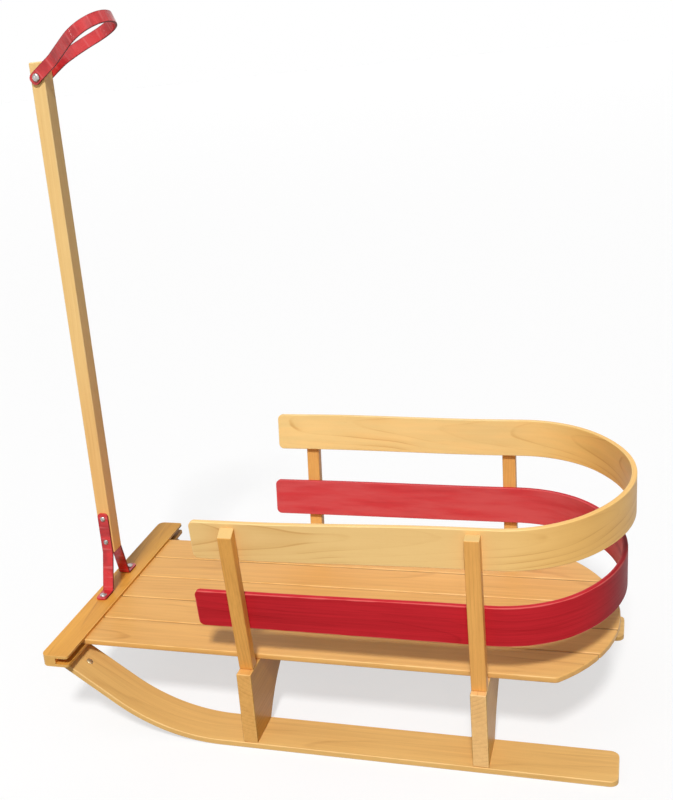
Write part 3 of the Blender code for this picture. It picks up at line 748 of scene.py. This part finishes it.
foot_z = BAR_BOTTOM_Z + BAR_THICKNESS + SEAT_GAP
slant_drop = POLE_BOTTOM_Z - foot_z - STRAP_BEND
bracket_moves = [
    (BRACKET_TOP_Z - POLE_BOTTOM_Z, 0),
    bend(STRAP_BEND, BRACKET_SLANT_DEG),
    (slant_drop / math.cos(math.radians(BRACKET_SLANT_DEG)), 0),
    bend(STRAP_BEND, 90 - BRACKET_SLANT_DEG),
    (BRACKET_FOOT, 0),
]
bracket_start = (POLE_WIDTH / 2 + SEAT_GAP, BRACKET_TOP_Z)
nose_turn_x = BAR_BACK_X + SKI_REACH + SEAT_GAP / math.sin(slope)
nose_front_x = BAR_FRONT_X - NOSE_STRAP_SET_BACK
half_bend = STRAP_BEND * math.tan(slope / 2)
nose_moves = [
    (nose_front_x - nose_turn_x - half_bend, 0),
    bend(STRAP_BEND, SKI_SLOPE_DEG),
    (NOSE_STRAP_LEG - half_bend, 0),
]
for side, name in ((1, "left"), (-1, "right")):
    flat_path_band(
        name + "_bracket_bent", bracket_start, -90.0, bracket_moves,
        ((POLE_X, 0, 0), (0, side, 0), (0, 0, 1), (1, 0, 0)),
        (BRACKET_WIDTH, STRAP_THICKNESS, STRAP_EDGE), (BRACKET_CORNER, BRACKET_CORNER),
        BRACKET_STEP, BRACKET_RED, "red_painted_steel", stands_for=(name + "_bracket",),
    )
    flat_path_band(
        name + "_nose_strap_bent", (nose_front_x, BAR_BOTTOM_Z - SEAT_GAP), 180.0, nose_moves,
        ((0, side * SKI_MIDDLE_Y, 0), (1, 0, 0), (0, 0, 1), (0, 1, 0)),
        (NOSE_STRAP_WIDTH, STRAP_THICKNESS, STRAP_EDGE), (NOSE_STRAP_CORNER, NOSE_STRAP_CORNER),
        STRAP_STEP, STRAP_STEEL, "zinc", stands_for=(name + "_nose_strap",),
    )


# The hand loop leans further as it goes out, and twists a little

GRIP_REACH = 0.147
GRIP_LEAN = math.radians(52.5)
GRIP_DROOP = math.radians(12.6)
GRIP_TWIST = math.radians(7.5)
GRIP_FLARE_DEG = 25.5
GRIP_NECK = 0.0314
GRIP_NECK_RADIUS = 0.030
GRIP_END = 0.0115
GRIP_CORNER = 0.008

flare = math.radians(GRIP_FLARE_DEG)
grip_face = POLE_WIDTH / 2 + PIVOT_GAP
neck_y = grip_face + GRIP_NECK_RADIUS * (1 - math.cos(flare))
neck_end = GRIP_NECK + GRIP_NECK_RADIUS * math.sin(flare)
bow = (neck_y * math.cos(flare) + (GRIP_REACH - neck_end) * math.sin(flare)) / (1 + math.sin(flare))
leg = (GRIP_REACH - bow - neck_end) * math.cos(flare) - neck_y * math.sin(flare)
grip_half = [(GRIP_END + GRIP_NECK, 0), bend(GRIP_NECK_RADIUS, -GRIP_FLARE_DEG), (leg, 0)]
grip_moves = [*grip_half, bend(bow, 180 + 2 * GRIP_FLARE_DEG), *reversed(grip_half)]


def on_loop(distance, across, depth):
    """A point of the loop. Its plane path gives (side, along). The lean is lean + droop x
    along / reach, the spine is reach / droop x (the leaning arm - the arm at the pivot), and
    side and width turn by twist x (along / reach)^2."""
    side, along, angle = follow((grip_face, -GRIP_END), 90.0, grip_moves, distance)
    out = depth + STRAP_THICKNESS / 2
    side, along = side + out * np.sin(angle), along - out * np.cos(angle)
    share = along / GRIP_REACH
    leaning = GRIP_LEAN + GRIP_DROOP * share
    twist = GRIP_TWIST * np.clip(share, 0, None) ** 2
    side, wide = (
        side * np.cos(twist) - across * np.sin(twist),
        side * np.sin(twist) + across * np.cos(twist),
    )
    arm = GRIP_REACH / GRIP_DROOP
    spine_x = arm * (np.cos(leaning) - math.cos(GRIP_LEAN))
    spine_z = arm * (np.sin(leaning) - math.sin(GRIP_LEAN))
    x = GRIP_PIVOT.x + spine_x + wide * np.cos(leaning)
    return x, side, GRIP_PIVOT.z + spine_z + wide * np.sin(leaning)


band(
    "grip_loop_bent", path_length(grip_moves), GRIP_WIDTH, STRAP_THICKNESS, STRAP_EDGE,
    (GRIP_CORNER, GRIP_CORNER), STRAP_STEP, on_loop, GRIP_RED, "red_painted_steel",
    body="grip", stands_for=("grip_loop",),
)


# Bolts and screws

# A head is (radius, height), a ring (radius, thickness) and a nut (width across flats, height)
POLE_HEAD, POLE_RING, POLE_NUT = (0.0045, 0.0030), (0.0060, 0.0010), (0.0075, 0.0035)
FOOT_HEAD, FOOT_RING, FOOT_NUT = (0.0060, 0.0036), (0.0080, 0.0012), (0.0095, 0.0045)
SKI_HEAD, SKI_RING, SKI_NUT = (0.0054, 0.0018), (0.0065, 0.0010), (0.0080, 0.0036)
GRIP_HEAD = (0.0062, 0.0036)
NOSE_SCREW_RADIUS, SOLE_SCREW_RADIUS = 0.0030, 0.0040
SHANK_RADIUS, SHANK_LENGTH = 0.003, 0.004
HEAD_FLANGE = 0.0005
POLE_BOLT_HEIGHTS = (0.2283, 0.272)
FOOT_BOLT_INSET = 0.012
SKI_BOLT_BACK = 0.0440
NOSE_SCREW_BACK = 0.0088
SOLE_SCREW_ASIDE = 0.018
SOLE_SCREW_Z = -0.0001
ON_AXIS = 0.0001


def dome_bolt(name, spot, direction, head, steel=BOLT_STEEL):
    """A round-headed bolt: a quarter circle squashed to the head's height, on a thin flange."""
    radius, height = head
    profile = [
        (radius * math.cos(a), HEAD_FLANGE + (height - HEAD_FLANGE) * math.sin(a))
        for a in np.radians(np.linspace(88, 0, 9))
    ]
    profile += [(radius, 0.0), (SHANK_RADIUS, 0.0), (SHANK_RADIUS, -SHANK_LENGTH)]
    turned(name, profile, pointing(spot, direction), steel, "zinc")


def flush_screw(name, spot, radius):
    """A countersunk screw seen from below, with a hollow in its flat head: radius by height."""
    profile = [
        (ON_AXIS, 0.0010), (0.0012, 0.0010), (0.0016, 0.0), (radius - 0.0002, 0.0),
        (radius, 0.0002), (0.0016, 0.0024), (ON_AXIS, 0.0024),
    ]
    turned(name, profile, Matrix.Translation(spot), BOLT_STEEL, "zinc", sides=24)


def washer(name, spot, direction, radius, thickness):
    """A flat ring that a nut sits on, with eased edges."""
    ease, hole = thickness / 4, 0.0034
    profile = [
        (hole, thickness), (radius - ease, thickness), (radius, thickness - ease),
        (radius, ease), (radius - ease, 0.0), (hole, 0.0),
    ]
    turned(name, profile, pointing(spot, direction), BOLT_STEEL, "zinc")


def hex_nut(name, spot, direction, across_flats, height):
    """A six-sided nut with chamfered corners and the bolt's end standing out of it."""
    corner = across_flats / math.sqrt(3)
    profile = [
        (ON_AXIS, height + 0.002), (0.0024, height + 0.002), (SHANK_RADIUS, height + 0.0014),
        (SHANK_RADIUS, height), (corner * 0.86, height), (corner, height - 0.0007),
        (corner, 0.0), (ON_AXIS, 0.0),
    ]
    turned(name, profile, pointing(spot, direction), BOLT_STEEL, "zinc", sides=6)


def nut_on_washer(label, spot, direction, ring, nut):
    """A washer on a face and a nut on the washer, each named by its word in the label."""
    washer(label.format("washer"), spot, direction, *ring)
    hex_nut(label.format("nut"), Vector(spot) + ring[1] * Vector(direction), direction, *nut)


strap_out_y = POLE_WIDTH / 2 + SEAT_GAP + STRAP_THICKNESS
for number, height in enumerate(POLE_BOLT_HEIGHTS, 1):
    dome_bolt(f"pole_bolt_{number}", (POLE_X, strap_out_y, height), (0, 1, 0), POLE_HEAD)
    far_spot = (POLE_X, -strap_out_y, height)
    nut_on_washer("pole_{}_" + str(number), far_spot, (0, -1, 0), POLE_RING, POLE_NUT)
foot_end_y = follow(bracket_start, -90.0, bracket_moves, path_length(bracket_moves))[0]
foot_bolt_y = float(foot_end_y) - FOOT_BOLT_INSET
ramp_up = Vector((-math.sin(slope), 0, math.cos(slope)))
ramp_along = Vector((math.cos(slope), 0, math.sin(slope)))
ramp_end = Vector((BAR_BACK_X + SKI_REACH, 0, ski_rise))
nose_screw_x = BAR_FRONT_X - NOSE_SCREW_BACK
nose_screw_z = BAR_BOTTOM_Z - SEAT_GAP - STRAP_THICKNESS
for side, name in ((1, "left"), (-1, "right")):
    foot_y, ski_y = side * foot_bolt_y, side * SKI_MIDDLE_Y
    on_foot = (POLE_X, foot_y, foot_z + STRAP_THICKNESS)
    dome_bolt(name + "_foot_bolt", on_foot, (0, 0, 1), FOOT_HEAD)
    under_bar = (POLE_X, foot_y, BAR_BOTTOM_Z)
    nut_on_washer(name + "_foot_{}", under_bar, (0, 0, -1), FOOT_RING, FOOT_NUT)
    under_bolt = ramp_end - SKI_BOLT_BACK * ramp_along + Vector((0, ski_y, 0))
    on_ski = under_bolt + SKI_THICKNESS * ramp_up
    dome_bolt(name + "_ski_bolt", on_ski, ramp_up, SKI_HEAD, PAINTED_REFLECTION_ZINC)
    under_strap = under_bolt - (STRAP_THICKNESS + SEAT_GAP) * ramp_up
    nut_on_washer(name + "_ski_{}", under_strap, -ramp_up, SKI_RING, SKI_NUT)
    flush_screw(name + "_nose_screw", (nose_screw_x, ski_y, nose_screw_z), NOSE_SCREW_RADIUS)
    for end, foot_x in (("rear", REAR_POST_X), ("front", FRONT_POST_X)):
        for place, aside in (("outer", SOLE_SCREW_ASIDE), ("inner", -SOLE_SCREW_ASIDE)):
            spot = (foot_x, side * (SKI_MIDDLE_Y + aside), SOLE_SCREW_Z)
            flush_screw(f"{name}_{end}_{place}_sole_screw", spot, SOLE_SCREW_RADIUS)

grip_seat = POLE_WIDTH / 2 + 2 * PIVOT_GAP + STRAP_THICKNESS
grip_dome = [
    (GRIP_HEAD[0] * math.cos(a), grip_seat + GRIP_HEAD[1] * math.sin(a))
    for a in np.radians(np.linspace(89, 0, 12))
]
grip_dome += [(0.0060, grip_seat), (SHANK_RADIUS, grip_seat)]
grip_dome += [(radius, -height) for radius, height in reversed(grip_dome)]
turned(
    "grip_bolt_rounded", grip_dome, pointing(GRIP_PIVOT, (0, 1, 0)), BOLT_STEEL, "zinc",
    stands_for=("grip_bolt",),
)


# Camera, light and floor

# The photograph's camera, in pixels of its 673 x 800 frame and in the sled's own metres
PHOTO_WIDTH, PHOTO_HEIGHT = 673, 800
FOCAL_PIXELS = 1156.37
AXIS_PIXEL_X, AXIS_PIXEL_Y = 251.68, 401.65
CAMERA_AZIMUTH_DEG = 19.75
CAMERA_DOWN_DEG = 18.085
CAMERA_ROLL_DEG = -5.892
CAMERA_SPOT = (-0.45447, 1.65394, 1.05597)

# Where the light comes from, and how much of it the surroundings give on either side
LIT_MIDDLE = Vector((0.0, 0.0, 0.3))
SUN_SIDE = Vector((-0.084, 0.607, 0.79)).normalized()
FAR_SIDE = Vector((0.30, -0.95, 0.05)).normalized()
SUN_ENERGY, SUN_ANGLE = 2.75, math.radians(9)
FILL_ENERGY, FILL_ANGLE = 1.0, math.radians(50)
STRIPS = {"near strip": (-1.0, 2.3, 1.6), "front strip": (1.7, 1.7, 1.5)}
OPEN_SIDE = (0.46, 0.68, 0.57)
OPEN_SIDE_LIGHT, SHADED_SIDE_LIGHT = 0.30, 0.06
FLOOR_WHITE_SHARE = 0.62
FLOOR_SEEN, FLOOR_BOUNCE = (0.95, 0.95, 0.95, 1), (0.31, 0.295, 0.25, 1)
WHITE = (1, 1, 1, 1)


def aim_camera():
    """Places the camera and frames the sled as the photograph does."""
    azimuth, down, roll = (
        math.radians(angle) for angle in (CAMERA_AZIMUTH_DEG, CAMERA_DOWN_DEG, CAMERA_ROLL_DEG)
    )
    forward = Vector(
        (math.sin(azimuth) * math.cos(down), -math.cos(azimuth) * math.cos(down), -math.sin(down))
    )
    right = forward.cross(Vector((0, 0, 1))).normalized()
    up = right.cross(forward)
    rolled_right = math.cos(roll) * right + math.sin(roll) * up
    rolled_up = math.cos(roll) * up - math.sin(roll) * right
    data = bpy.data.cameras.new("photograph camera")
    data.sensor_fit = "AUTO"
    data.sensor_width = 36.0
    data.lens = FOCAL_PIXELS * data.sensor_width / PHOTO_HEIGHT
    data.shift_x = (PHOTO_WIDTH / 2 - AXIS_PIXEL_X) / PHOTO_HEIGHT
    data.shift_y = (AXIS_PIXEL_Y - PHOTO_HEIGHT / 2) / PHOTO_HEIGHT
    data.clip_start = 0.05
    data.clip_end = 60.0
    camera = bpy.data.objects.new("photograph camera", data)
    turned_to = Matrix((rolled_right, rolled_up, -forward)).transposed().to_4x4()
    camera.matrix_world = Matrix.Translation(CAMERA_SPOT) @ turned_to
    bpy.context.scene.collection.objects.link(camera)
    bpy.context.scene.camera = camera


def lamp(name, kind, spot, **settings):
    """A light at a spot, aimed at the sled's middle."""
    data = bpy.data.lights.new(name, kind)
    for word, value in settings.items():
        setattr(data, word, value)
    obj = bpy.data.objects.new(name, data)
    toward = LIT_MIDDLE - Vector(spot)
    aimed = toward.to_track_quat("-Z", "Y").to_matrix().to_4x4()
    obj.matrix_world = Matrix.Translation(spot) @ aimed
    bpy.context.scene.collection.objects.link(obj)
    return obj


def seen_directly(tree):
    """1 for rays from the camera, off gloss or through glass, and 0 for light on the object."""
    seen = wired(tree, "ShaderNodeLightPath", {}).outputs
    share = sum_of(tree, "ADD", seen["Is Camera Ray"], seen["Is Glossy Ray"], clamp=True)
    return sum_of(tree, "ADD", share, seen["Is Transmission Ray"], clamp=True)


def light_studio():
    """White surroundings whose light on the object comes mostly from the front and above, one
    soft sun high on the near side, a level fill on the far side, and two strips for gloss."""
    world = bpy.data.worlds.new("white studio")
    bpy.context.scene.world = world
    world.use_nodes = True
    tree = world.node_tree
    backdrop = tree.nodes["Background"]
    way = wired(tree, "ShaderNodeTexCoord", {}).outputs["Generated"]
    facing = wired(
        tree, "ShaderNodeVectorMath", {0: way, 1: OPEN_SIDE}, operation="DOT_PRODUCT"
    ).outputs["Value"]
    around = ramp_between(tree, facing, -0.7, 0.5, SHADED_SIDE_LIGHT, OPEN_SIDE_LIGHT)
    rest = sum_of(tree, "SUBTRACT", 1.0, around)
    strength = scaled_onto(tree, seen_directly(tree), rest, around)
    tree.links.new(strength, backdrop.inputs["Strength"])
    backdrop.inputs["Color"].default_value = WHITE
    lamp("key sun", "SUN", LIT_MIDDLE + 3 * SUN_SIDE, energy=SUN_ENERGY, angle=SUN_ANGLE)
    fill = lamp("far fill", "SUN", LIT_MIDDLE + 3 * FAR_SIDE, energy=FILL_ENERGY, angle=FILL_ANGLE)
    fill.visible_glossy = False
    for name, spot in STRIPS.items():
        lamp(name, "AREA", spot, energy=3.0, shape="RECTANGLE", size=0.07, size_y=0.8)


def lay_floor():
    """A wide pale floor just under the skis, a shallow dish that rises far away:
    z = lift x (radius / reach)^4. Seen directly it is part white light, so that the shadow
    on it stays faint, and it lights the object as a plain floor does."""
    reach, lift, under = 9.0, 0.6, 0.0002
    radius = np.linspace(0.05, reach, 60)[:, None]
    angle = np.linspace(0, 2 * np.pi, 96, endpoint=False)[None, :]
    level = -under + lift * (radius / reach) ** 4
    points = np.stack((radius * np.cos(angle), radius * np.sin(angle), level + 0 * angle), -1)
    index = np.arange(points.shape[0] * points.shape[1]).reshape(points.shape[:2])
    beside = np.roll(index, -1, 1)
    faces = np.stack((index[:-1], index[1:], beside[1:], beside[:-1]), -1).reshape(-1, 4)
    mesh = bpy.data.meshes.new("pale_floor")
    mesh.from_pydata(points.reshape(-1, 3).tolist(), [], [*faces.tolist(), index[0].tolist()])
    mesh.polygons.foreach_set("use_smooth", np.ones(len(mesh.polygons), bool))
    material, tree, shader = principled("pale floor", Roughness=0.9, Specular_IOR_Level=0.0)
    seen = seen_directly(tree)
    shade = blended(tree, seen, FLOOR_BOUNCE, FLOOR_SEEN)
    tree.links.new(shade, shader.inputs["Base Color"])
    white = wired(tree, "ShaderNodeEmission", {"Color": WHITE, "Strength": 1.0}).outputs[0]
    share = product(tree, seen, FLOOR_WHITE_SHARE)
    lit = {0: share, 1: shader.outputs[0], 2: white}
    mixed = wired(tree, "ShaderNodeMixShader", lit).outputs[0]
    tree.links.new(mixed, tree.nodes["Material Output"].inputs["Surface"])
    mesh.materials.append(material)
    floor = bpy.data.objects.new("pale_floor", mesh)
    bpy.context.scene.collection.objects.link(floor)


aim_camera()
light_studio()
lay_floor()
bpy.context.scene.view_settings.view_transform = "Standard"
